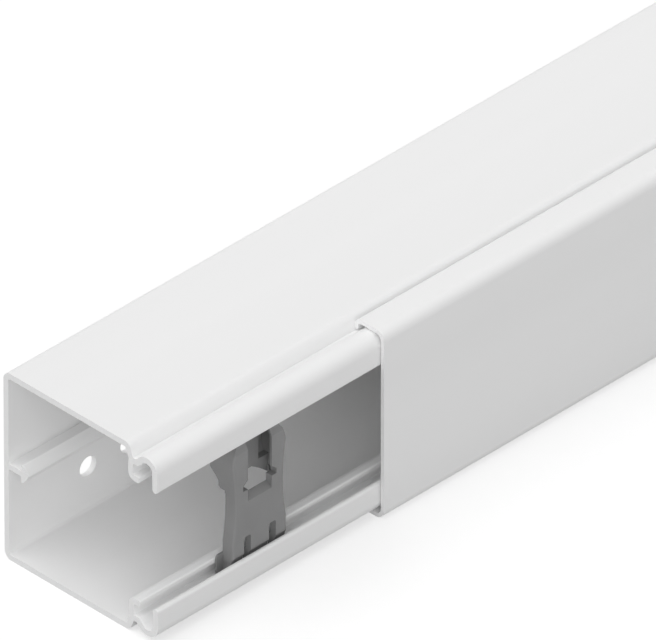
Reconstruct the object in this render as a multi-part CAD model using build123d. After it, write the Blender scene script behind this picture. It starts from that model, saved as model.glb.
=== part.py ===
from build123d import *
import math
import os

# Cable trunking with a cover that clips on, 60 x 60 mm: an extruded channel, its cover and one
# moulded clip that bridges the opening. Millimetres. The origin is the centre of the channel's
# wall face: +X runs along the length, +Y points into the wall, +Z is up. The channel lies on its
# lower side wall.
#
# Section sketches are drawn with x = depth from the wall face and y = height above mid-height,
# and section_plane turns them so that depth runs toward -Y.

LENGTH = 2000.0  # the stock length that the channel and the cover are sold in
HEIGHT = 60.0  # over the side walls
DEPTH = 58.75  # from the wall face to the front of the cover
COVER_SETBACK = 81.85  # how far the cover's near end lies behind the channel's near end

WALL = 1.8  # extruded wall of the channel
CORNER_RADIUS = 2.7  # outside of the two back corners

COVER_WALL = 1.2
COVER_CORNER_RADIUS = 3.2  # outside of the two front corners
COVER_REACH = 10.8  # width of the cover's flanges, back from its front
COVER_HOOK_HEIGHT = 3.5  # from the outside of the flange to the hook's tip
COVER_HOOK_RADIUS = 2.0  # outside corner between flange and hook
COVER_FRONT_GAP = 0.5  # cover to the channel's front lips
COVER_SIDE_GAP = 0.4  # cover flange to the crown of the lip's arch

ARCH_RADIUS = 3.02  # middle of the arch that carries the lip
ARCH_START = 30.0  # degrees above its centre at which the arch springs from the groove floor
ARCH_RAMP = 0.95  # short slope between the groove floor and the arch
LIP_LENGTH = 9.75  # from the arch's crown to the lip's free end
GROOVE_DEPTH = 3.95  # groove floor below the side wall's outside
SHOULDER_RADIUS = 2.3  # outside, where the side wall turns in to the groove
FLANK_LEAN = 1.55  # how far the groove's flank leans out on its way down
FLANK_TAIL = 0.7  # how far the flank runs on below the middle of the groove floor's wall
FLANK_EASE = 1.2  # radius of the two slight bends below the flank

SLOT_OPENING = 4.9  # from the inside of the lip to the free end of the catch behind it
CATCH_REACH = 3.15  # from the middle of the catch's back to its free end
CATCH_SEAT = 0.25  # foot of the flank in front of the middle of the catch's back
CATCH_DROP = 11.15  # bottom of the catch below the side wall's outside
CATCH_STEP = 6.6  # where the catch's back stands straight, below the side wall's outside
CATCH_BEND_RADIUS = 1.3
CATCH_TIP_RADIUS = 0.5

RAIL_WEB = 1.7  # T-shaped rail along the middle of the back wall
RAIL_HEIGHT = 7.35  # from the wall face to the rail's top
RAIL_HEAD_WIDTH = 6.0
RAIL_HEAD_THICKNESS = 1.0
RAIL_EDGE_RADIUS = 0.45

HOLE_RADIUS = 3.05  # fixing holes in the back wall
HOLE_PITCH = 15.0  # between the two holes of a pair
HOLE_ROW_OFFSET = 14.5  # each row's distance from mid-height
HOLE_FIRST = 29.0  # first hole from either end
HOLE_STATIONS = 9  # groups of four holes along the length

CLIP_CENTER = 39.75  # middle of the clip from the channel's near end
CLIP_WIDTH = 19.8
CLIP_WAIST = 17.3  # width at the narrowest place
CLIP_WAIST_LOW = -13.5  # the waisted stretch begins, from mid-height
CLIP_WAIST_HIGH = 10.5  # and ends, where the shoulders begin
CLIP_SHOULDER = 2.0  # how far each shoulder draws in toward the top
CLIP_SHOULDER_HEIGHT = 5.5
CLIP_SHOULDER_BULGE = 0.5  # sagitta of the shoulder's arc
CLIP_LIP_FIT = 0.3  # front plate to the inside of the lips
CLIP_CATCH_FIT = 0.7  # clip to the free ends of the catches
CLIP_FIT = 0.3  # barbs and head to the catches' faces
CLIP_PLATE = 2.2  # thickness of the front plate
CLIP_SIDE_WALL = 1.4
CLIP_EDGE_RADIUS = 0.7  # front corners between plate and sides
CLIP_SETBACK = 0.8  # how far the plate's ends step back behind the lips
CLIP_SETBACK_RAMP = 1.44  # height over which each end steps back
CLIP_SETBACK_LOW = -17.0  # the lower step begins, from mid-height
CLIP_SETBACK_HIGH = 14.2  # the upper step begins
CLIP_BARB = 2.0  # how far the barbs reach behind the catches
CLIP_BARB_SLOPE = 2.0  # height of a barb's ramp
CLIP_HEAD_DEPTH = 4.65  # the head, back from the sides' edge
CLIP_HEAD_LOW = 6.0  # underside of the head at its back
CLIP_HEAD_EASE = 0.9  # bevel at the head's lower back edge
CLIP_HEAD_STEP = 1.5  # the step below the head, back from the sides' edge
CLIP_HEAD_FOOT = 1.9  # underside of that step
CLIP_HEAD_FACE = 1.25  # front of the block between the sides, back from the sides' edge
CLIP_HEAD_WALL = 1.2
CLIP_POCKET_LOW = 5.3  # floor of the two pockets beside the window
CLIP_APRON_PEAK = 4.2  # lower edge of the apron under the pockets: at its middle,
CLIP_APRON_SHOULDER = 3.7  # at this distance from the middle,
CLIP_APRON_HIGH = 2.2  # where it is this high,
CLIP_APRON_LOW = -1.0  # and at the sides
CLIP_WINDOW_WIDTH = 8.9
CLIP_WINDOW_TOP = 17.0
CLIP_WINDOW_SILL = -2.15  # front edge of the window's sloping sill
CLIP_SILL_RISE = 1.35
CLIP_WINDOW_EDGE = 0.8  # thickness left beside the window, in front of the pockets
CLIP_WINDOW_REBATE = 1.8  # width of that thinner stretch
CLIP_NOTCH = 1.75  # widening of the window at its two notches
CLIP_NOTCH_LOW = 1.6
CLIP_NOTCH_HIGH = 4.7
CLIP_NOTCH_TAPER = 1.5  # how much lower the notch's top is at its outer end
CLIP_TONGUE = 6.7  # width of the lower tongue between its two slots
CLIP_SLOT_WIDTH = 2.5
CLIP_SLOT_TOP = -13.15
CLIP_SLOT_RADIUS = 0.7
CLIP_EAR = 2.3  # ears beside the clip's feet
CLIP_EAR_DEPTH = 1.4
CLIP_EAR_TOP = -17.8
CLIP_EAR_HEIGHT = 6.2
CLIP_EAR_RADIUS = 0.9

half_height = HEIGHT / 2
near_end = -LENGTH / 2
lip_middle = DEPTH - COVER_WALL - COVER_FRONT_GAP - WALL / 2
lip_inside = lip_middle - WALL / 2
arch_depth = lip_middle - ARCH_RADIUS
arch_height = half_height - COVER_WALL - COVER_SIDE_GAP - WALL / 2 - ARCH_RADIUS
groove_floor = half_height - GROOVE_DEPTH
catch_tip = lip_inside - SLOT_OPENING
catch_back = catch_tip - CATCH_REACH
catch_low = half_height - CATCH_DROP
flank_foot = catch_back + CATCH_SEAT


def section_plane(x):
    """A plane square to the length at x, with depth along its x axis and height along its y axis."""
    return Plane(origin=(x, 0, 0), x_dir=(0, -1, 0), z_dir=(-1, 0, 0))


def extrude_section(section, x_start, length):
    """Run a section from x_start toward the far end."""
    return extrude(section_plane(x_start) * section, amount=-length)


def strip(path, thickness):
    """A wall of even thickness along a path, with round ends."""
    return make_face(offset(path, amount=thickness / 2, side=Side.BOTH, closed=True).edges())


def both_halves(upper):
    """A section and its mirror image below mid-height."""
    return upper + mirror(upper, about=Plane.XZ)


def side_wall_section():
    """Upper half of the channel: back wall, side wall, flank of the groove and the catch under it."""
    middle = WALL / 2
    wall_line = half_height - middle
    catch_line = catch_low + middle
    path = FilletPolyline(
        (middle, 0),
        (middle, wall_line),
        (flank_foot - FLANK_LEAN, wall_line),
        (flank_foot, groove_floor - FLANK_TAIL),
        (catch_back, half_height - CATCH_STEP),
        (catch_back, catch_line),
        (catch_tip - middle, catch_line),
        radius=[
            CORNER_RADIUS - middle,
            SHOULDER_RADIUS - middle,
            FLANK_EASE,
            FLANK_EASE,
            CATCH_BEND_RADIUS,
        ],
    )
    tip_length = CATCH_REACH - CATCH_BEND_RADIUS
    tip = Pos(catch_tip - tip_length / 2, catch_line) * RectangleRounded(tip_length, WALL, CATCH_TIP_RADIUS)
    return strip(path, WALL) + tip


def lip_section():
    """Upper half of the channel: groove floor, arch and the lip that hangs in front of the catch."""
    floor_line = groove_floor - WALL / 2
    start = math.radians(ARCH_START)
    arch_foot = (arch_depth - ARCH_RADIUS * math.cos(start), arch_height + ARCH_RADIUS * math.sin(start))
    lip_end = half_height - COVER_WALL - COVER_SIDE_GAP - LIP_LENGTH + WALL / 2
    path = Polyline((flank_foot, floor_line), (arch_foot[0] - ARCH_RAMP, floor_line), arch_foot)
    path += CenterArc((arch_depth, arch_height), ARCH_RADIUS, 180 - ARCH_START, ARCH_START - 180)
    path += Line((lip_middle, arch_height), (lip_middle, lip_end))
    return strip(path, WALL)


def rail_section():
    """The T-shaped rail on the back wall, drawn whole."""
    head_middle = RAIL_HEIGHT - RAIL_HEAD_THICKNESS / 2
    web_length = head_middle - WALL / 2
    web = Pos(head_middle - web_length / 2, 0) * Rectangle(web_length, RAIL_WEB)
    head = Pos(head_middle, 0) * RectangleRounded(RAIL_HEAD_THICKNESS, RAIL_HEAD_WIDTH, RAIL_EDGE_RADIUS)
    return web + head


def channel_section():
    return both_halves(side_wall_section() + lip_section()) + rail_section()


def hole_places():
    """Distances of the fixing holes from the near end, in pairs, the same at both ends."""
    spacing = (LENGTH - 2 * HOLE_FIRST - HOLE_PITCH) / (HOLE_STATIONS - 1)
    firsts = [HOLE_FIRST + i * spacing for i in range(HOLE_STATIONS)]
    return [first + step for first in firsts for step in (0, HOLE_PITCH)]


def make_channel():
    channel = extrude_section(channel_section(), near_end, LENGTH)
    holes = []
    for distance in hole_places():
        for height in (-HOLE_ROW_OFFSET, HOLE_ROW_OFFSET):
            axis = Plane(origin=(near_end + distance, 0, height), z_dir=(0, -1, 0))
            holes.append(axis * Cylinder(HOLE_RADIUS, 4 * WALL))
    return channel - holes


def cover_section():
    """The cover: front, two flanges and the hooks that drop into the channel's grooves."""
    half = COVER_WALL / 2
    front = DEPTH - half
    flange = half_height - half
    hook = DEPTH - COVER_REACH + half
    hook_end = half_height - COVER_HOOK_HEIGHT + half
    path = FilletPolyline(
        (front, 0),
        (front, flange),
        (hook, flange),
        (hook, hook_end),
        radius=[COVER_CORNER_RADIUS - half, COVER_HOOK_RADIUS - half],
    )
    return both_halves(strip(path, COVER_WALL))


def make_cover():
    return extrude_section(cover_section(), near_end + COVER_SETBACK, LENGTH)


clip_front = lip_inside - CLIP_LIP_FIT
clip_back = catch_tip + CLIP_CATCH_FIT
clip_end = arch_height
clip_x = near_end + CLIP_CENTER
inside_width = CLIP_WIDTH - 2 * CLIP_SIDE_WALL
head_back = clip_back - CLIP_HEAD_DEPTH
head_front = clip_back - CLIP_HEAD_FACE
head_top = catch_low - CLIP_FIT
through_plate = (clip_back, clip_front + CLIP_PLATE)


def clip_block(width, depths, heights, offset=0.0):
    """A box in the clip: its width along the channel, two depths and two heights."""
    center = (clip_x + offset, -sum(depths) / 2, sum(heights) / 2)
    return Pos(center) * Box(width, depths[1] - depths[0], heights[1] - heights[0])


def clip_extrusion(*points):
    """A side view, given as depths and heights, run across the clip's width."""
    face = make_face(Polyline(*points, close=True))
    return extrude_section(face, clip_x - CLIP_WIDTH / 2, CLIP_WIDTH)


def mirrored_extrusion(half, depths):
    """Half of a front view and its mirror image, run from one depth to the other."""
    plane = Plane(origin=(clip_x, -depths[0], 0), x_dir=(1, 0, 0), z_dir=(0, -1, 0))
    return extrude(plane * (half + mirror(half, about=Plane.YZ)), amount=depths[1] - depths[0])


def clip_outline(width):
    """Front view of the clip, waisted below and shouldered above, as a solid of the given width."""
    edge = width / 2
    waist = edge - (CLIP_WIDTH - CLIP_WAIST) / 2
    neck = edge - CLIP_SHOULDER
    neck_height = CLIP_WAIST_HIGH + CLIP_SHOULDER_HEIGHT
    outline = Polyline((0, -half_height), (edge, -half_height), (edge, CLIP_WAIST_LOW))
    waist_middle = (waist, (CLIP_WAIST_LOW + CLIP_WAIST_HIGH) / 2)
    outline += ThreePointArc((edge, CLIP_WAIST_LOW), waist_middle, (edge, CLIP_WAIST_HIGH))
    outline += SagittaArc((edge, CLIP_WAIST_HIGH), (neck, neck_height), -CLIP_SHOULDER_BULGE)
    outline += Polyline((neck, neck_height), (neck, half_height), (0, half_height), (0, -half_height))
    return mirrored_extrusion(make_face(outline), (0, DEPTH))


def plate_face(inset):
    """Side view of the front plate's face from the bottom up, moved back by an inset."""
    outer = clip_front - inset
    behind = outer - CLIP_SETBACK
    return [
        (behind, -clip_end),
        (behind, CLIP_SETBACK_LOW - CLIP_SETBACK_RAMP),
        (outer, CLIP_SETBACK_LOW),
        (outer, CLIP_SETBACK_HIGH),
        (behind, CLIP_SETBACK_HIGH + CLIP_SETBACK_RAMP),
        (behind, clip_end),
    ]


def clip_sides():
    """The two sides: their barbs hold behind the catches, and the upper one has the stepped head."""
    barb_back = clip_back - CLIP_BARB
    barb_face = catch_low + WALL + CLIP_FIT
    barb_foot = barb_face + CLIP_BARB / 2
    upper_barb = [
        (clip_back + CLIP_FIT, clip_end),
        (clip_back, barb_foot + CLIP_BARB_SLOPE),
        (barb_back, barb_foot),
        (barb_back, barb_face),
        (clip_back, barb_face),
    ]
    step_back = clip_back - CLIP_HEAD_STEP
    head = [
        (clip_back, head_top),
        (head_back, head_top),
        (head_back, CLIP_HEAD_LOW + CLIP_HEAD_EASE),
        (head_back + CLIP_HEAD_EASE, CLIP_HEAD_LOW),
        (step_back, CLIP_HEAD_LOW - CLIP_HEAD_EASE),
        (step_back, CLIP_HEAD_FOOT + CLIP_HEAD_EASE),
        (clip_back, CLIP_HEAD_FOOT),
    ]
    lower_barb = [(depth, -height) for depth, height in reversed(upper_barb)]
    front = clip_front - CLIP_SETBACK - CLIP_PLATE / 2
    solid = clip_extrusion((front, -clip_end), (front, clip_end), *upper_barb, *head, *lower_barb)
    return solid - clip_outline(inside_width)


def clip_head():
    """The block between the sides at the head, with a pocket on either side of the window."""
    wide = 2 * CLIP_WIDTH
    block = clip_block(CLIP_WIDTH, (head_back, head_front), (CLIP_HEAD_LOW, head_top))
    depths = (head_back + CLIP_HEAD_WALL, head_front)
    heights = (CLIP_POCKET_LOW, head_top - CLIP_HEAD_WALL)
    pockets = clip_outline(inside_width) & clip_block(wide, depths, heights)
    pockets -= clip_block(CLIP_WINDOW_WIDTH, depths, heights)
    return block + clip_apron() - pockets


def clip_apron():
    """The thin web that carries the head's front down to a pronged lower edge."""
    inside = inside_width / 2
    half = make_face(
        Polyline(
            (0, CLIP_APRON_PEAK),
            (CLIP_APRON_SHOULDER / 2, (CLIP_APRON_PEAK + CLIP_APRON_HIGH) / 2 - 0.3),
            (CLIP_APRON_SHOULDER, CLIP_APRON_HIGH),
            (inside, CLIP_APRON_LOW),
            (inside, CLIP_HEAD_LOW + CLIP_HEAD_WALL),
            (0, CLIP_HEAD_LOW + CLIP_HEAD_WALL),
            close=True,
        )
    )
    return mirrored_extrusion(half, (head_front - CLIP_HEAD_WALL, head_front))


def clip_window():
    """The window with its sloping sill, its two notches and the rebates behind its edges."""
    edge = CLIP_WINDOW_WIDTH / 2
    back, front = through_plate
    sill_top = CLIP_WINDOW_SILL + CLIP_SILL_RISE
    opening = clip_extrusion(
        (front, CLIP_WINDOW_SILL),
        (front, CLIP_WINDOW_TOP),
        (back, CLIP_WINDOW_TOP),
        (back, sill_top),
        (clip_front - CLIP_PLATE, sill_top),
        (clip_front, CLIP_WINDOW_SILL),
    )
    opening &= clip_block(CLIP_WINDOW_WIDTH, through_plate, (-HEIGHT, HEIGHT))
    notch = Polyline(
        (edge, CLIP_NOTCH_LOW),
        (edge + CLIP_NOTCH, CLIP_NOTCH_LOW),
        (edge + CLIP_NOTCH, CLIP_NOTCH_HIGH - CLIP_NOTCH_TAPER),
        (edge, CLIP_NOTCH_HIGH),
        close=True,
    )
    notches = mirrored_extrusion(make_face(notch), through_plate)
    rebate = clip_extrusion(*plate_face(CLIP_WINDOW_EDGE), *reversed(plate_face(2 * CLIP_PLATE)))
    rebate &= clip_block(
        CLIP_WINDOW_WIDTH + 2 * CLIP_WINDOW_REBATE, (0, 2 * DEPTH), (CLIP_NOTCH_LOW, CLIP_WINDOW_TOP)
    )
    return [opening, notches, rebate]


def clip_slots():
    """The two slots that free the lower tongue, round at their top corners."""
    height = 2 * clip_end
    center = (CLIP_TONGUE + CLIP_SLOT_WIDTH) / 2
    slot = Pos(center, CLIP_SLOT_TOP - height / 2) * RectangleRounded(CLIP_SLOT_WIDTH, height, CLIP_SLOT_RADIUS)
    return mirrored_extrusion(slot, through_plate)


def clip_ears():
    """Small round-cornered ears beside the feet, in front of the lower catch."""
    width = CLIP_EAR + CLIP_SIDE_WALL
    center = CLIP_WIDTH / 2 - CLIP_SIDE_WALL + width / 2
    ear = Pos(center, CLIP_EAR_TOP - CLIP_EAR_HEIGHT / 2) * RectangleRounded(width, CLIP_EAR_HEIGHT, CLIP_EAR_RADIUS)
    return mirrored_extrusion(ear, (clip_back, clip_back + CLIP_EAR_DEPTH))


def make_clip():
    """Plate and sides with rounded front corners, the plate's ends then stepped back, and the rest."""
    plate = clip_extrusion((clip_front, -clip_end), (clip_front, clip_end), *reversed(plate_face(CLIP_PLATE)))
    shell = (plate + clip_sides()) & clip_outline(CLIP_WIDTH)
    corners = [
        edge
        for edge in shell.edges()
        if abs(edge.center().Y + clip_front) < 0.01 and abs(edge.center().X - clip_x) > 1
    ]
    shell = fillet(corners, CLIP_EDGE_RADIUS)
    shell -= clip_extrusion(*plate_face(0), (DEPTH, clip_end), (DEPTH, -clip_end))
    head = clip_head() & clip_outline(CLIP_WIDTH)
    return shell - clip_window() - clip_slots() + head + clip_ears()


channel = make_channel()
cover = make_cover()
clip = make_clip()

os.makedirs("parts", exist_ok=True)
export_step(channel, "parts/base_channel.step")
export_step(cover, "parts/snap_cover.step")
export_step(clip, "parts/cable_clip.step")
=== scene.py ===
import math

import bmesh
import bpy
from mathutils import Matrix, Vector


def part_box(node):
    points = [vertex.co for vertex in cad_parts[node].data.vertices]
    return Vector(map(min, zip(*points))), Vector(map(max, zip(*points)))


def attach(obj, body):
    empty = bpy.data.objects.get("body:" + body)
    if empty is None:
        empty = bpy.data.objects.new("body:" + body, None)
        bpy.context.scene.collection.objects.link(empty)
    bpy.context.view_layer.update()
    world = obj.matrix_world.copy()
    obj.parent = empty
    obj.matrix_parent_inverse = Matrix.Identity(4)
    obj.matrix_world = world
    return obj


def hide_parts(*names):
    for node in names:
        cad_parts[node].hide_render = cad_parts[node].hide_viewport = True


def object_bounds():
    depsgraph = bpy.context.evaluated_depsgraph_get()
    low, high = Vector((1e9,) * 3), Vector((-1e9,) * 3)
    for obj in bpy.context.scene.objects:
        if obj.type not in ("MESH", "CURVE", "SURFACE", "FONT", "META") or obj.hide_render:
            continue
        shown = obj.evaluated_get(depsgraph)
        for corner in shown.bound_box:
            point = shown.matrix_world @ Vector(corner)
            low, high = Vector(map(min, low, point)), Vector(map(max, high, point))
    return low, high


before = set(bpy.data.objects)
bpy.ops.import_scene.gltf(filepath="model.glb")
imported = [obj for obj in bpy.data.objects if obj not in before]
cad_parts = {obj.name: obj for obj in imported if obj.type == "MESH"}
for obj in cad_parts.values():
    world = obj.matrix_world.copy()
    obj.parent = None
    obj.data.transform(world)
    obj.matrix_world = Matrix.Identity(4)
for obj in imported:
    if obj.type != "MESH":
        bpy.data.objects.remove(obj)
cad_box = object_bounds()


# The base channel: one length of white rigid PVC, extruded through a die as a thin-walled section
# with an arrow-headed rail inside, a groove along each side for the cover's hooks and a lip in front of it.
# It is sawn to length, and its back wall is punched with groups of four screw holes.
MM = 0.001
channel_low, channel_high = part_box("base_channel")
half_height = channel_high.z / MM
wall = 1.8
back_radius = 2.7
shoulder_radius = 2.3
shoulder_depth = 44.96
flank_lean = 22.5
flank_back = (46.53, 25.23)
floor_top = 26.05
ramp_foot = 49.22
arch_center = (53.13, 24.48)
arch_radius = 3.02
arch_spring = 147.7
arch_inner_end = 150
ramp_bends = ((50.52, 25.99), (49.56, 25.15))
ramp_slope = 41.3
lip_end = 19.55
catch_front = 48.1
catch_bend = (48.5, 21.05)
catch_tip = 50.35
catch_tip_radius = 0.5
catch_seat = 23.35
catch_flare = 0.12
rail_web = 1.7
rail_neck = 6.35
rail_edge = (6.75, 2.364)
rail_edge_radius = 0.4
rail_slope = (2.369, -2.995)
rail_slope_radius = 7.322
rail_nose = (8.387, 0.0)
rail_nose_radius = 0.6
rail_turn = 50.73
rail_nose_turn = 26.46
arc_step = 7.5


def arc(center, radius, start, end):
    """Points along an arc in the section, with its angles in degrees from the depth axis."""
    steps = max(3, round(abs(end - start) / arc_step))
    angles = [math.radians(start + (end - start) * i / steps) for i in range(steps + 1)]
    return [(center[0] + radius * math.cos(a), center[1] + radius * math.sin(a)) for a in angles]


def both_halves(upper):
    """A whole section from its upper half, as depths and heights in millimetres."""
    return upper + [(depth, -height) for depth, height in reversed(upper)]


back_center = (back_radius, half_height - back_radius)
shoulder_center = (shoulder_depth, half_height - shoulder_radius)
shoulder_end = arc(shoulder_center, shoulder_radius, 90, flank_lean)[-1]
valley = shoulder_end[0] + (shoulder_end[1] - floor_top) * math.tan(math.radians(flank_lean))
web_under = floor_top - wall
catch_top = catch_bend[1] - (catch_bend[0] - catch_front)
catch_radius = catch_bend[0] - catch_front + wall
tip_center = catch_tip - catch_tip_radius
channel_outline = both_halves(
    [
        *arc(back_center, back_radius, 180, 90),
        *arc(shoulder_center, shoulder_radius, 90, flank_lean),
        (valley, floor_top),
        (ramp_foot, floor_top),
        *arc(arch_center, arch_radius + wall / 2, arch_spring, 0),
        *arc((arch_center[0] + arch_radius, lip_end), wall / 2, 0, -180),
        *arc(arch_center, arch_radius - wall / 2, 0, arch_inner_end),
        *arc(ramp_bends[0], wall / 2, arch_inner_end - 180, ramp_slope - 90),
        *arc(ramp_bends[1], wall / 2, ramp_slope - 90, -90),
        (catch_front + catch_flare, web_under),
        (catch_front, catch_seat),
        *arc(catch_bend, catch_radius - wall, 180, 270),
        *arc((tip_center, catch_top - catch_tip_radius), catch_tip_radius, 90, 0),
        *arc((tip_center, catch_top - wall + catch_tip_radius), catch_tip_radius, 0, -90),
        *arc(catch_bend, catch_radius, 270, 180),
        (catch_front - wall, catch_seat),
        flank_back,
        *arc(shoulder_center, shoulder_radius - wall, flank_lean, 90),
        *arc(back_center, back_radius - wall, 90, 180),
        (wall, rail_web / 2),
        (rail_neck, rail_web / 2),
        *arc(rail_edge, rail_edge_radius, 180, rail_turn),
        *arc(rail_slope, rail_slope_radius, rail_turn, rail_nose_turn)[1:-1],
        *arc(rail_nose, rail_nose_radius, rail_nose_turn, 0)[:-1],
    ]
)


def closed_between(name, first, second):
    """A closed mesh between two matching outlines, with its normals outward."""
    count = len(first)
    sides = [(i, (i + 1) % count, count + (i + 1) % count, count + i) for i in range(count)]
    ends = [tuple(reversed(range(count))), tuple(range(count, 2 * count))]
    mesh = bpy.data.meshes.new(name)
    mesh.from_pydata(first + second, [], sides + ends)
    shell = bmesh.new()
    shell.from_mesh(mesh)
    bmesh.ops.recalc_face_normals(shell, faces=shell.faces)
    shell.to_mesh(mesh)
    shell.free()
    piece = bpy.data.objects.new(name, mesh)
    bpy.context.collection.objects.link(piece)
    return piece


def extruded(name, outline, x_start, x_end):
    """A section run from one x to another."""
    first, second = ([(x, -depth * MM, height * MM) for depth, height in outline] for x in (x_start, x_end))
    return closed_between(name, first, second)


def add_node(tree, kind, inputs, **settings):
    """A node whose inputs are set to values or linked to other nodes' sockets."""
    made = tree.nodes.new(kind)
    for name, value in settings.items():
        setattr(made, name, value)
    for key, value in inputs.items():
        if isinstance(value, bpy.types.NodeSocket):
            tree.links.new(value, made.inputs[key])
        else:
            made.inputs[key].default_value = value
    return made


def streaks(tree, scale, detail):
    """Noise on the piece's own coordinates, stretched by a scale for each axis."""
    place = add_node(tree, "ShaderNodeTexCoord", {})
    stretched = add_node(tree, "ShaderNodeMapping", {"Vector": place.outputs["Object"], "Scale": scale})
    noise = add_node(
        tree, "ShaderNodeTexNoise", {"Vector": stretched.outputs["Vector"], "Scale": 1.0, "Detail": detail}
    )
    return noise.outputs["Fac"]


def between(tree, factor, low, high):
    """A value that runs from low to high with a noise's middle range."""
    levels = add_node(
        tree,
        "ShaderNodeMapRange",
        {"Value": factor, "From Min": 0.3, "From Max": 0.7, "To Min": low, "To Max": high},
    )
    return levels.outputs["Result"]


def tinted(tree, factor, first, second):
    """A colour that drifts between two tones."""
    mixed = add_node(tree, "ShaderNodeMix", {0: factor, 6: (*first, 1), 7: (*second, 1)}, data_type="RGBA")
    return mixed.outputs[2]


def new_finish(name):
    """An empty material and its shader node."""
    finish = bpy.data.materials.new(name)
    finish.use_nodes = True
    return finish, finish.node_tree, finish.node_tree.nodes["Principled BSDF"]


white_pvc, tree, shader = new_finish("white_pvc")
drift = streaks(tree, (3.0, 40.0, 40.0), 2.0)
die_lines = streaks(tree, (1.5, 1600.0, 1600.0), 3.0)
whites = tinted(tree, between(tree, drift, 0.0, 1.0), (0.88, 0.88, 0.88), (0.90, 0.90, 0.90))
tree.links.new(whites, shader.inputs["Base Color"])
tree.links.new(between(tree, die_lines, 0.40, 0.50), shader.inputs["Roughness"])
relief = add_node(tree, "ShaderNodeBump", {"Height": die_lines, "Strength": 0.04, "Distance": 0.0002})
tree.links.new(relief.outputs["Normal"], shader.inputs["Normal"])

sawn_pvc, tree, shader = new_finish("sawn_pvc")
grain = streaks(tree, (900.0, 900.0, 300.0), 4.0)
whites = tinted(tree, between(tree, grain, 0.0, 1.0), (0.86, 0.86, 0.86), (0.89, 0.89, 0.89))
tree.links.new(whites, shader.inputs["Base Color"])
tree.links.new(between(tree, grain, 0.55, 0.7), shader.inputs["Roughness"])
relief = add_node(tree, "ShaderNodeBump", {"Height": grain, "Strength": 0.15, "Distance": 0.0002})
tree.links.new(relief.outputs["Normal"], shader.inputs["Normal"])

end_facing = 0.99
punched = bpy.data.node_groups.new("punched_screw_holes", "GeometryNodeTree")
ports = {}
for title, kind in [
    ("Geometry", "NodeSocketGeometry"),
    ("First group", "NodeSocketVector"),
    ("Group spacing", "NodeSocketFloat"),
    ("Groups", "NodeSocketInt"),
    ("Pitch along", "NodeSocketFloat"),
    ("Pitch across", "NodeSocketFloat"),
    ("Hole radius", "NodeSocketFloat"),
    ("Punch length", "NodeSocketFloat"),
]:
    ports[title] = punched.interface.new_socket(title, in_out="INPUT", socket_type=kind).identifier
punched.interface.new_socket("Geometry", in_out="OUTPUT", socket_type="NodeSocketGeometry")
given = add_node(punched, "NodeGroupInput", {}).outputs
step = add_node(punched, "ShaderNodeCombineXYZ", {"X": given["Group spacing"]})
groups = add_node(
    punched,
    "GeometryNodeMeshLine",
    {"Count": given["Groups"], "Start Location": given["First group"], "Offset": step.outputs[0]},
)
group = add_node(
    punched,
    "GeometryNodeMeshGrid",
    {"Size X": given["Pitch along"], "Size Y": given["Pitch across"], "Vertices X": 2, "Vertices Y": 2},
)
upright = (math.radians(90), 0.0, 0.0)
punch = add_node(
    punched,
    "GeometryNodeMeshCylinder",
    {"Vertices": 64, "Radius": given["Hole radius"], "Depth": given["Punch length"]},
)
punches = add_node(
    punched,
    "GeometryNodeInstanceOnPoints",
    {"Points": group.outputs["Mesh"], "Instance": punch.outputs["Mesh"]},
)
turned = add_node(punched, "GeometryNodeTransform", {"Geometry": punches.outputs[0], "Rotation": upright})
all_punches = add_node(
    punched, "GeometryNodeInstanceOnPoints", {"Points": groups.outputs["Mesh"], "Instance": turned.outputs[0]}
)
solid_punches = add_node(punched, "GeometryNodeRealizeInstances", {"Geometry": all_punches.outputs[0]})
cut = add_node(
    punched,
    "GeometryNodeMeshBoolean",
    {"Mesh 1": given["Geometry"], "Mesh 2": solid_punches.outputs[0]},
    operation="DIFFERENCE",
)
plain = add_node(punched, "GeometryNodeRealizeInstances", {"Geometry": cut.outputs["Mesh"]})
faced = add_node(punched, "GeometryNodeSetMaterial", {"Geometry": plain.outputs[0], "Material": white_pvc})
facing = add_node(punched, "GeometryNodeInputNormal", {})
along = add_node(punched, "ShaderNodeSeparateXYZ", {"Vector": facing.outputs[0]})
size_along = add_node(punched, "ShaderNodeMath", {0: along.outputs["X"]}, operation="ABSOLUTE")
sawn = add_node(
    punched, "ShaderNodeMath", {0: size_along.outputs[0], 1: end_facing}, operation="GREATER_THAN"
)
ended = add_node(
    punched,
    "GeometryNodeSetMaterial",
    {"Geometry": faced.outputs[0], "Selection": sawn.outputs[0], "Material": sawn_pvc},
)
add_node(punched, "NodeGroupOutput", {"Geometry": ended.outputs[0]})


def as_plain_mesh(piece):
    """Turn the result of the piece's modifiers into its mesh."""
    evaluated = piece.evaluated_get(bpy.context.evaluated_depsgraph_get())
    piece.data = bpy.data.meshes.new_from_object(evaluated)
    piece.modifiers.clear()


def shade_as_extruded(piece):
    """Smooth round the bends, flat on the walls and crisp at the cuts."""
    piece.data.shade_smooth()
    piece.data.set_sharp_from_angle(angle=math.radians(25))
    weighted = piece.modifiers.new("flat_walls", "WEIGHTED_NORMAL")
    weighted.keep_sharp = True
    weighted.weight = 100


first_hole = 29.0
hole_pitch = 15.0
row_pitch = 29.0
hole_radius = 3.05
hole_groups = 9
length = (channel_high.x - channel_low.x) / MM
first_group = channel_low.x + (first_hole + hole_pitch / 2) * MM
group_spacing = (length - 2 * first_hole - hole_pitch) / (hole_groups - 1)

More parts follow.
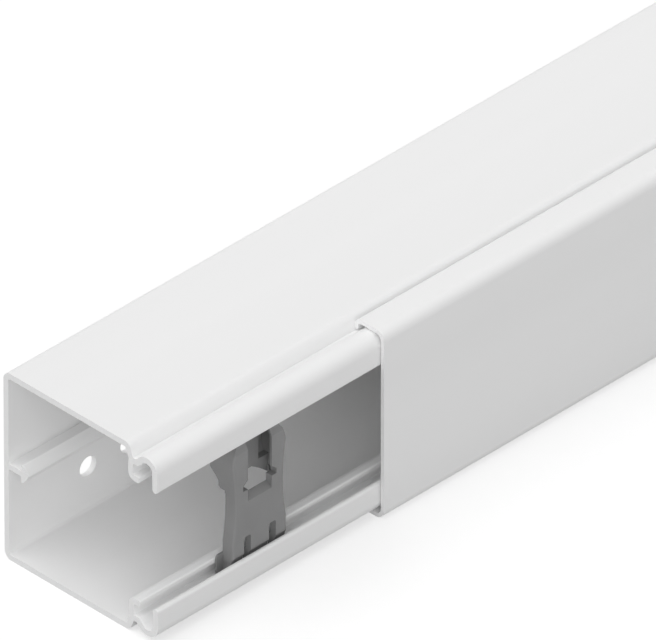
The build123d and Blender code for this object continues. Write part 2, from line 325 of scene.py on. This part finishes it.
channel = extruded("channel_extrusion", channel_outline, channel_low.x, channel_high.x)
holes = channel.modifiers.new("screw_holes", "NODES")
holes.node_group = punched
holes[ports["First group"]] = (first_group, 0.0, 0.0)
holes[ports["Group spacing"]] = group_spacing * MM
holes[ports["Groups"]] = hole_groups
holes[ports["Pitch along"]] = hole_pitch * MM
holes[ports["Pitch across"]] = row_pitch * MM
holes[ports["Hole radius"]] = hole_radius * MM
holes[ports["Punch length"]] = 4 * wall * MM
as_plain_mesh(channel)
shade_as_extruded(channel)
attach(channel, "channel")
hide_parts("base_channel")


# The cover: a second, thinner extrusion of the same white PVC. Its two short flanges end in hooks
# that drop into the channel's grooves, and it is slid back to leave the near end open.
cover_low, cover_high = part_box("snap_cover")
cover_front = -cover_low.y / MM
cover_wall = 1.2
cover_radius = 3.2
hook_radius = 2.0
hook_depth = -cover_high.y / MM
hook_height = 3.5
hook_tip = half_height - hook_height + cover_wall / 2
front_center = (cover_front - cover_radius, half_height - cover_radius)
hook_center = (hook_depth + hook_radius, half_height - hook_radius)
cover_outline = both_halves(
    [
        *arc(front_center, cover_radius, 0, 90),
        *arc(hook_center, hook_radius, 90, 180),
        *arc((hook_depth + cover_wall / 2, hook_tip), cover_wall / 2, 180, 360),
        *arc(hook_center, hook_radius - cover_wall, 180, 90),
        *arc(front_center, cover_radius - cover_wall, 90, 0),
    ]
)
cover = extruded("cover_extrusion", cover_outline, cover_low.x, cover_high.x)
cover.data.materials.append(white_pvc)
cover.data.materials.append(sawn_pvc)
for face in cover.data.polygons:
    face.material_index = int(abs(face.normal.x) > end_facing)
shade_as_extruded(cover)
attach(cover, "cover")
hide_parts("snap_cover")


# The clip: one small injection moulding in grey plastic with a fine matt grain, waisted seen from
# the front. Its barbs spring in behind the channel's catches, and its head, hollowed by two pockets
# with a pronged apron under them, stands back into the channel behind the window.
clip_low, clip_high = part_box("cable_clip")
clip_middle = (clip_low.x + clip_high.x) / 2
clip_width = 19.8
tool_width = 2 * clip_width
clear_back = 40
clear_front = 60
waist_inset = 1.05
waist_low = -13.5
waist_high = 10.5
shoulder_inset = 2.0
shoulder_rise = 5.5
shoulder_bulge = 0.5
bow_steps = 12
side_wall = 1.4
inner_width = clip_width - 2 * side_wall
inner_edge = inner_width / 2
plate = 2.2
plate_front = 54.95
side_back = 51.05
clip_end = 24.48
end_ease = 0.3
setback = 0.8
setback_ramp = 1.44
setback_low = -18.2
setback_high = 14.2
corner_radius = 0.7
corner_reach = 5.0
same_place = 1e-6
barb_back = side_back - 2.0
barb_face = 20.95
barb_foot = 21.95
barb_end = 23.95
head_back = 46.0
head_top = 18.55
head_low = 7.0
head_heel = (48.3, 4.3)
head_step = 48.6
head_foot = 1.45
head_ease = 0.6
block_front = 50.4
block_wall = 1.2
block_lap = 0.2
pocket_floor = 5.0
rib_width = 7.9
apron_wall = 0.8
apron_peak = 4.55
apron_bend = (7.1, -0.5)
apron_low = -0.8
apron_bow = 0.3
apron_end = inner_edge + 1.0
peak_half = 0.01
overlap = 0.06
foot_lap = 0.15
window_width = 8.75
window_top = 17.0
window_sill = -2.15
sill_rise = 1.35
rebate_width = 12.35
rebate_face = 0.8
notch_low = 1.6
notch_top = 4.7
notch_taper = 1.5
notch_reach = 1.75
notch_lap = 0.2
slot_middle = 4.6
slot_half = 1.25
slot_top = -13.15
slot_radius = 0.7
ear_middle = 10.35
ear_half = 1.85
ear_top = -17.8
ear_bottom = -24.0
ear_radius = 0.9
ear_back = 50.55
ear_lap = 0.1


def bowed(start, end, bow):
    """Points from start to end along a shallow curve that bows to the left."""
    run = Vector(end) - Vector(start)
    left = Vector((-run.y, run.x)).normalized()
    steps = [i / bow_steps for i in range(bow_steps + 1)]
    return [tuple(Vector(start) + run * t + left * (4 * bow * t * (1 - t))) for t in steps]


def mirrored(half):
    """A whole front view from its half, as distances from the middle and heights."""
    return half + [(-across, height) for across, height in reversed(half)]


def waisted(width):
    """The clip's front view, waisted below and shouldered above, at a given width."""
    edge = width / 2
    neck = edge - shoulder_inset
    return mirrored(
        [
            (edge, -half_height),
            *bowed((edge, waist_low), (edge, waist_high), waist_inset),
            *bowed((edge, waist_high), (neck, waist_high + shoulder_rise), -shoulder_bulge)[1:],
            (neck, half_height),
        ]
    )


def plate_face(inset):
    """Side view of the plate's face from the bottom up, moved back by an inset."""
    outer = plate_front - inset
    behind = outer - setback
    return [
        (behind, -half_height),
        (behind, setback_low - setback_ramp),
        (outer, setback_low),
        (outer, setback_high),
        (behind, setback_high + setback_ramp),
        (behind, half_height),
    ]


def from_front(outline, back, front):
    """A front view run from one depth to another."""
    first, second = (
        [(clip_middle + across * MM, -depth * MM, height * MM) for across, height in outline]
        for depth in (back, front)
    )
    return closed_between("clip_tool", first, second)


def on_one_side(outline, hand, back, front):
    """A detail of the front view, on the left or the right, run from one depth to another."""
    return from_front([(hand * across, height) for across, height in outline], back, front)


def waisted_solid(width):
    """The waisted front view as a solid that reaches past the clip's back and front."""
    return from_front(waisted(width), clear_back, clear_front)


def from_side(outline, width):
    """A side view, as depths and heights, run across the clip."""
    return extruded("clip_tool", outline, clip_middle - width / 2 * MM, clip_middle + width / 2 * MM)


def worked(piece, operation, tool):
    """Cut, trim or join a piece with another solid, which is used up."""
    change = piece.modifiers.new("worked", "BOOLEAN")
    change.operation = operation
    change.solver = "MANIFOLD"
    change.object = tool
    as_plain_mesh(piece)
    bpy.data.objects.remove(tool)


clip = from_side(
    [
        (plate_front, -clip_end),
        (plate_front, clip_end),
        (side_back + end_ease, clip_end),
        (side_back, barb_end),
        (barb_back, barb_foot),
        (barb_back, barb_face),
        (side_back, barb_face),
        (side_back, head_top),
        (head_back, head_top),
        (head_back, head_low),
        head_heel,
        (head_step, head_heel[1] - head_ease),
        (head_step, head_foot + head_ease),
        (head_step + head_ease, head_foot),
        (side_back, head_foot),
        (side_back, -barb_face),
        (barb_back, -barb_face),
        (barb_back, -barb_foot),
        (side_back, -barb_end),
        (side_back + end_ease, -clip_end),
    ],
    tool_width,
)
clip.name = "cable_clip_moulding"
worked(clip, "INTERSECT", waisted_solid(clip_width))
rounded = bmesh.new()
rounded.from_mesh(clip.data)
corners = [
    edge
    for edge in rounded.edges
    if all(abs(end.co.y + plate_front * MM) < same_place for end in edge.verts)
    and all(abs(end.co.x - clip_middle) > corner_reach * MM for end in edge.verts)
    and abs(edge.verts[0].co.z - edge.verts[1].co.z) > same_place
]
bmesh.ops.bevel(
    rounded, geom=corners, offset=corner_radius * MM, segments=5, profile=0.5, affect="EDGES"
)
rounded.to_mesh(clip.data)
rounded.free()
in_front = [*plate_face(0), (clear_front, half_height), (clear_front, -half_height)]
worked(clip, "DIFFERENCE", from_side(in_front, tool_width))
behind_plate = [(clear_back, -half_height), *plate_face(plate), (clear_back, half_height)]
inside = from_side(behind_plate, tool_width)
worked(inside, "INTERSECT", waisted_solid(inner_width))
worked(clip, "DIFFERENCE", inside)

block_low = pocket_floor - block_wall
block = from_side(
    [
        (head_back, head_top),
        (head_back, head_low),
        head_heel,
        (head_step, block_low),
        (block_front, block_low),
        (block_front, head_top),
    ],
    tool_width,
)
worked(block, "INTERSECT", waisted_solid(inner_width + 2 * block_lap))
pockets = from_side(
    [
        (head_back + block_wall, head_top - block_wall),
        (head_back + block_wall, head_low + block_wall / 2),
        (head_step, pocket_floor),
        (side_back, pocket_floor),
        (side_back, head_top - block_wall),
    ],
    tool_width,
)
worked(pockets, "INTERSECT", waisted_solid(inner_width))
rib = mirrored([(rib_width / 2, -half_height), (rib_width / 2, half_height)])
worked(pockets, "DIFFERENCE", from_front(rib, clear_back, clear_front))
worked(block, "DIFFERENCE", pockets)
apron = from_front(
    mirrored(
        [
            *bowed((peak_half, apron_peak), apron_bend, apron_bow),
            (inner_edge, apron_low),
            (apron_end, apron_low),
            (apron_end, pocket_floor - overlap),
        ]
    ),
    block_front - apron_wall,
    block_front - overlap,
)
worked(apron, "INTERSECT", waisted_solid(inner_width + 2 * block_lap))
worked(block, "UNION", apron)
prong_foot = [
    (apron_bend[0] + overlap, apron_bend[1] + overlap),
    (inner_edge, apron_low + overlap),
    (apron_end, apron_low + overlap),
    (apron_end, head_foot + overlap),
    (apron_bend[0] + overlap, head_foot + overlap),
]
foot_back = block_front - apron_wall + overlap
for hand in (-1, 1):
    foot = on_one_side(prong_foot, hand, foot_back, side_back + overlap)
    worked(foot, "INTERSECT", waisted_solid(inner_width + 2 * foot_lap))
    worked(block, "UNION", foot)
worked(clip, "UNION", block)

sill_top = window_sill + sill_rise
worked(
    clip,
    "DIFFERENCE",
    from_side(
        [
            (clear_front, window_sill),
            (clear_front, window_top),
            (side_back, window_top),
            (side_back, sill_top),
            (plate_front - plate, sill_top),
            (plate_front, window_sill),
        ],
        window_width,
    ),
)
rebate_front = plate_front - rebate_face
worked(
    clip,
    "DIFFERENCE",
    from_side(
        [
            (rebate_front, notch_low),
            (rebate_front, setback_high),
            (rebate_front - setback, setback_high + setback_ramp),
            (rebate_front - setback, window_top),
            (side_back, window_top),
            (side_back, notch_low),
        ],
        rebate_width,
    ),
)
notch_inner = window_width / 2 - notch_lap
notch_outer = window_width / 2 + notch_reach
notch = [
    (notch_inner, notch_low),
    (notch_outer, notch_low),
    (notch_outer, notch_top - notch_taper),
    (notch_inner, notch_top + notch_lap * notch_taper / notch_reach),
]
slot = [
    (slot_middle - slot_half, -half_height),
    *arc((slot_middle - slot_half + slot_radius, slot_top - slot_radius), slot_radius, 180, 90),
    *arc((slot_middle + slot_half - slot_radius, slot_top - slot_radius), slot_radius, 90, 0),
    (slot_middle + slot_half, -half_height),
]
ear_inner, ear_outer = ear_middle - ear_half + ear_radius, ear_middle + ear_half - ear_radius
ear = [
    *arc((ear_outer, ear_top - ear_radius), ear_radius, 90, 0),
    *arc((ear_outer, ear_bottom + ear_radius), ear_radius, 0, -90),
    *arc((ear_inner, ear_bottom + ear_radius), ear_radius, -90, -180),
    *arc((ear_inner, ear_top - ear_radius), ear_radius, 180, 90),
]
for hand in (-1, 1):
    worked(clip, "DIFFERENCE", on_one_side(notch, hand, side_back, clear_front))
    worked(clip, "DIFFERENCE", on_one_side(slot, hand, side_back, clear_front))
    worked(clip, "UNION", on_one_side(ear, hand, ear_back, side_back + ear_lap))

grey_plastic, tree, shader = new_finish("grey_plastic")
mottle = streaks(tree, (120.0, 120.0, 120.0), 2.0)
grain = streaks(tree, (2600.0, 2600.0, 2600.0), 2.0)
greys = tinted(tree, between(tree, mottle, 0.0, 1.0), (0.235, 0.235, 0.236), (0.255, 0.255, 0.256))
tree.links.new(greys, shader.inputs["Base Color"])
tree.links.new(between(tree, grain, 0.48, 0.6), shader.inputs["Roughness"])
relief = add_node(tree, "ShaderNodeBump", {"Height": grain, "Strength": 0.12, "Distance": 0.0001})
tree.links.new(relief.outputs["Normal"], shader.inputs["Normal"])
clip.data.materials.clear()
clip.data.materials.append(grey_plastic)
shade_as_extruded(clip)
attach(clip, "channel")
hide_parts("cable_clip")


# The studio: a white floor under the channel, soft light from above and from the near end, and a
# camera with a very long lens, because the picture is drawn in isometric.
FLOOR_SIZE = 12.0
floor_mesh = bpy.data.meshes.new("floor")
edge = FLOOR_SIZE / 2
floor_mesh.from_pydata(
    [(x, y, cad_box[0].z) for x, y in ((-edge, -edge), (edge, -edge), (edge, edge), (-edge, edge))],
    [],
    [(0, 1, 2, 3)],
)
floor = bpy.data.objects.new("floor", floor_mesh)
bpy.context.collection.objects.link(floor)


def seen_directly(tree):
    """1 for what the camera or a reflection sees, 0 for light."""
    path = add_node(tree, "ShaderNodeLightPath", {})
    seen = add_node(
        tree,
        "ShaderNodeMath",
        {0: path.outputs["Is Camera Ray"], 1: path.outputs["Is Glossy Ray"]},
        operation="ADD",
        use_clamp=True,
    )
    return seen.outputs[0]


FLOOR_LIFT = 0.54
paper, tree, shader = new_finish("white_paper")
shader.inputs["Roughness"].default_value = 0.9
shader.inputs["Specular IOR Level"].default_value = 0.0
seen = seen_directly(tree)
tree.links.new(tinted(tree, seen, (0.45, 0.45, 0.45), (0.55, 0.55, 0.55)), shader.inputs["Base Color"])
shader.inputs["Emission Color"].default_value = (1, 1, 1, 1)
lift = add_node(tree, "ShaderNodeMath", {0: seen, 1: FLOOR_LIFT}, operation="MULTIPLY")
tree.links.new(lift.outputs[0], shader.inputs["Emission Strength"])
floor_mesh.materials.append(paper)

AMBIENT = 0.48
world = bpy.data.worlds.new("white_room")
bpy.context.scene.world = world
world.use_nodes = True
tree = world.node_tree
room = tree.nodes["Background"]
room.inputs["Color"].default_value = (1, 1, 1, 1)
strength = add_node(
    tree,
    "ShaderNodeMapRange",
    {"Value": seen_directly(tree), "From Min": 0.0, "From Max": 1.0, "To Min": AMBIENT, "To Max": 1.0},
)
tree.links.new(strength.outputs["Result"], room.inputs["Strength"])

for name, toward_lamp, energy, softness in [
    ("overhead", (-0.32, 0.22, 0.88), 1.24, 60),
    ("front_fill", (-0.60, -0.75, 0.25), 1.06, 55),
]:
    lamp = bpy.data.lights.new(name, "SUN")
    lamp.energy = energy
    lamp.angle = math.radians(softness)
    placed = bpy.data.objects.new(name, lamp)
    placed.rotation_euler = (-Vector(toward_lamp)).to_track_quat("-Z", "Y").to_euler()
    bpy.context.collection.objects.link(placed)

LENS_MM = 1600.0
SENSOR_MM = 36.0
VIEW_WIDTH = 0.17272
AIM = Vector((-0.89399, -0.0138, 0.00011))
TOWARD_CAMERA = Vector((-0.57844, -0.57863, 0.57498)).normalized()
lens = bpy.data.cameras.new("camera")
lens.lens = LENS_MM
lens.sensor_width = SENSOR_MM
lens.clip_end = 100.0
camera = bpy.data.objects.new("camera", lens)
camera.location = AIM + TOWARD_CAMERA * VIEW_WIDTH * LENS_MM / SENSOR_MM
camera.rotation_euler = (-TOWARD_CAMERA).to_track_quat("-Z", "Y").to_euler()
bpy.context.collection.objects.link(camera)
bpy.context.scene.camera = camera
bpy.context.scene.view_settings.view_transform = "Standard"
bpy.context.scene.cycles.diffuse_bounces = 12
